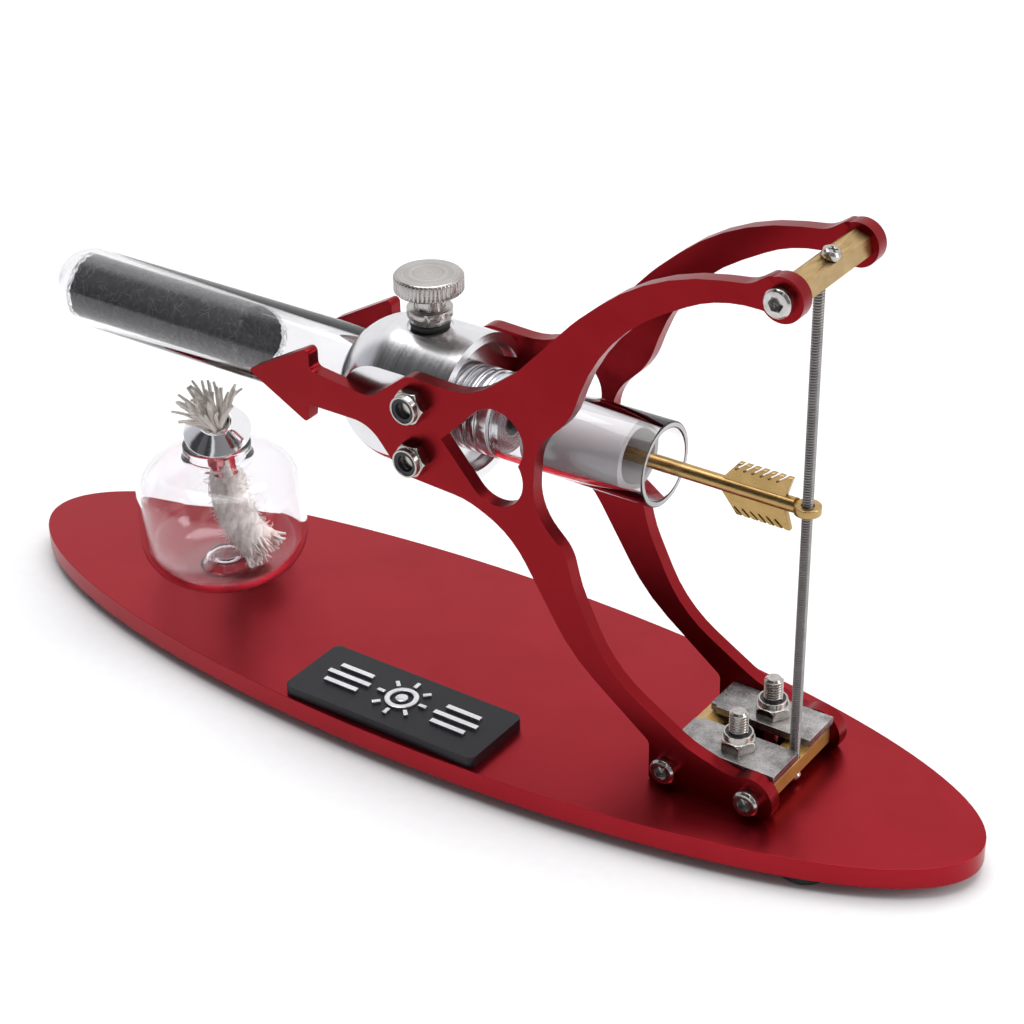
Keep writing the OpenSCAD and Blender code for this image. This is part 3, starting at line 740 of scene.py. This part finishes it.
def tuft(count=52):
    """Loose yarns above the holder: a bundle near its axis, with some lying over to the left."""
    rng = random.Random(5)
    left = Vector((-0.81, -0.586, 0.12))
    starts = []
    for k in range(count):
        a, r = rng.uniform(0, math.tau), 1.9 * MM * math.sqrt(rng.random())
        side = holder_axis.orthogonal().normalized()
        out = math.cos(a) * side + math.sin(a) * holder_axis.cross(side)
        start = holder_rim + 1.6 * MM * holder_axis + r * out
        direction = 0.55 * UP + 0.6 * holder_axis + 0.22 * out
        direction += Vector((rng.gauss(0, 0.14), rng.gauss(0, 0.14), rng.gauss(0, 0.1))) + 0.12 * left
        droop, length = 0.3 * out, rng.uniform(6.4, 9) * MM
        if k % 4 == 0:
            direction += left * rng.uniform(0.3, 0.9)
            droop = left * rng.uniform(0.2, 0.6)
        starts.append((start, direction, length, droop, rng.uniform(0.34, 0.48) * MM))
    strands("wick_tuft", starts, rng)


def frayed_end(frames, count=90):
    """Short loose yarns that close the rope's lower end."""
    rng = random.Random(8)
    here, a, b, _ = frames[-1]
    tangent = a.cross(b).normalized()
    starts = []
    for _ in range(count):
        angle = rng.uniform(0, math.tau)
        r = rope_radius * math.sqrt(rng.random())
        out = math.cos(angle) * a + math.sin(angle) * b
        start = here + r * 0.95 * out - tangent * 1.5 * MM
        direction = tangent + 0.35 * out * (r / rope_radius) + Vector((0, 0, -0.1))
        length = rng.uniform(2.2, 3.8) * MM
        starts.append((start, direction, length, Vector((0, 0, -0.2)), rng.uniform(0.2, 0.34) * MM))
    strands("wick_fray", starts, rng)


def fuzz(frames, count=900):
    """Fine fibres that stand off the rope below the sleeve."""
    rng = random.Random(3)
    first_free = 56  # the frames before this one are in the sleeve or close to it
    starts = []
    for _ in range(count):
        here, a, b, _ = rng.choice(frames[first_free:])
        angle = rng.uniform(0, math.tau)
        out = math.cos(angle) * a + math.sin(angle) * b
        along = a.cross(b) * rng.uniform(-1, 1)
        start = here + out * rope_radius * 0.93
        direction = 0.45 * out + along + 0.5 * a.cross(out)
        starts.append((start, direction, rng.uniform(0.7, 1.8) * MM, -0.8 * out, 0.045 * MM))
    points, faces = [], []
    for start, direction, length, droop, radius in starts:
        heading = direction.normalized()
        here = start.copy()
        line = []
        for _ in range(4):
            line.append(here.copy())
            heading = (heading + droop / 4).normalized()
            here += heading * length / 3
        add_tube(points, faces, line, radius, 3)
    make_mesh("wick_fuzz", points, faces, cotton, "wick_holder")


rope_frames = rope()
tuft()
frayed_end(rope_frames)
fuzz(rope_frames)
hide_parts("wick")


# ---- floor, light and camera ----


def floor():
    """A plain pale plane under the feet."""
    size = 3.0
    corners = [(-size, -size, 0), (size, -size, 0), (size, size, 0), (-size, size, 0)]
    mesh = bpy.data.meshes.new("floor")
    mesh.from_pydata(corners, [], [(0, 1, 2, 3)])
    piece = bpy.data.objects.new("floor", mesh)
    scene.collection.objects.link(piece)
    s = Surface("floor_paper", (0.86, 0.86, 0.865), 0.0, 0.7)
    fine = s.grain(2 * MM, 2)
    s.tint(fine, (0.85, 0.85, 0.855), (0.87, 0.87, 0.875))
    mesh.materials.append(s.material)


def area_light(name, place, target, width, height, power):
    """A soft box that faces the target."""
    data = bpy.data.lights.new(name, "AREA")
    data.shape = "RECTANGLE"
    data.size, data.size_y = width, height
    data.energy = power
    light = bpy.data.objects.new(name, data)
    light.location = place
    light.rotation_mode = "QUATERNION"
    light.rotation_quaternion = (Vector(target) - Vector(place)).to_track_quat("-Z", "Y")
    scene.collection.objects.link(light)


# (position, brightness) across the studio's front, from the far left at 0 to the far right at 1
front_tones = (
    (0.12, 0.5), (0.17, 0.05), (0.3, 0.05), (0.33, 0.12), (0.47, 0.1), (0.5, 0.04), (0.6, 0.04),
    (0.62, 0.8), (0.66, 0.8), (0.69, 0.2),
)


def world_light():
    """A pale studio: bright behind and overhead, dark in front where the camera stands."""
    world = bpy.data.worlds.new("studio")
    scene.world = world
    world.use_nodes = True
    tree = world.node_tree
    background = tree.nodes["Background"]
    place = tree.nodes.new("ShaderNodeTexCoord")
    split = tree.nodes.new("ShaderNodeSeparateXYZ")
    tree.links.new(place.outputs["Generated"], split.inputs[0])
    shares = []
    for axis, start, end in (("Y", -0.12, 0.2), ("Z", 0.86, 0.96)):
        share = tree.nodes.new("ShaderNodeMapRange")
        share.interpolation_type = "SMOOTHSTEP"
        share.inputs["From Min"].default_value = start
        share.inputs["From Max"].default_value = end
        tree.links.new(split.outputs[axis], share.inputs["Value"])
        shares.append(share.outputs[0])
    most = tree.nodes.new("ShaderNodeMath")
    most.operation = "MAXIMUM"
    tree.links.new(shares[0], most.inputs[0])
    tree.links.new(shares[1], most.inputs[1])
    mix = tree.nodes.new("ShaderNodeMix")
    mix.data_type = "RGBA"
    front = tree.nodes.new("ShaderNodeValToRGB")
    reach = tree.nodes.new("ShaderNodeMapRange")
    reach.inputs["From Min"].default_value = -1
    tree.links.new(split.outputs["X"], reach.inputs["Value"])
    tree.links.new(reach.outputs[0], front.inputs[0])
    ramp = front.color_ramp
    ramp.elements[0].position, ramp.elements[0].color = 0.0, (0.6, 0.6, 0.66, 1)
    ramp.elements[1].position, ramp.elements[1].color = 1.0, (0.3, 0.29, 0.3, 1)
    for position, tone in front_tones:
        ramp.elements.new(position).color = (tone, tone, 1.04 * tone, 1)
    tree.links.new(front.outputs["Color"], mix.inputs["A"])
    mix.inputs["B"].default_value = (1.02, 1.02, 1.03, 1)
    tree.links.new(most.outputs[0], mix.inputs["Factor"])
    tree.links.new(mix.outputs["Result"], background.inputs["Color"])


def camera():
    """Stands to the right in front of the engine and looks down at it."""
    azimuth, elevation, roll = (math.radians(a) for a in (35.883, 30.355, -1.378))
    forward = Vector((
        -math.sin(azimuth) * math.cos(elevation),
        math.cos(azimuth) * math.cos(elevation),
        -math.sin(elevation),
    ))
    right = Vector((math.cos(azimuth), math.sin(azimuth), 0))
    up = right.cross(forward)
    right, up = (
        math.cos(roll) * right + math.sin(roll) * up,
        math.cos(roll) * up - math.sin(roll) * right,
    )
    data = bpy.data.cameras.new("camera")
    data.sensor_width = 36
    data.lens = 82.5
    data.shift_x, data.shift_y = 0.0174, 0.0032
    data.clip_start, data.clip_end = 0.01, 10
    view = bpy.data.objects.new("camera", data)
    place = Matrix.Translation((0.20957, -0.28024, 0.23997))
    view.matrix_world = place @ Matrix((right, up, -forward)).transposed().to_4x4()
    scene.collection.objects.link(view)
    scene.camera = view


floor()
world_light()
area_light("top_light", (-0.05, 0.1, 1.0), (0, 0, 0.05), 1.0, 0.8, 8)
area_light("right_light", (0.9, 0.25, 0.45), (0, 0, 0.05), 0.3, 0.6, 2.5)
camera()
scene.view_settings.view_transform = "Standard"
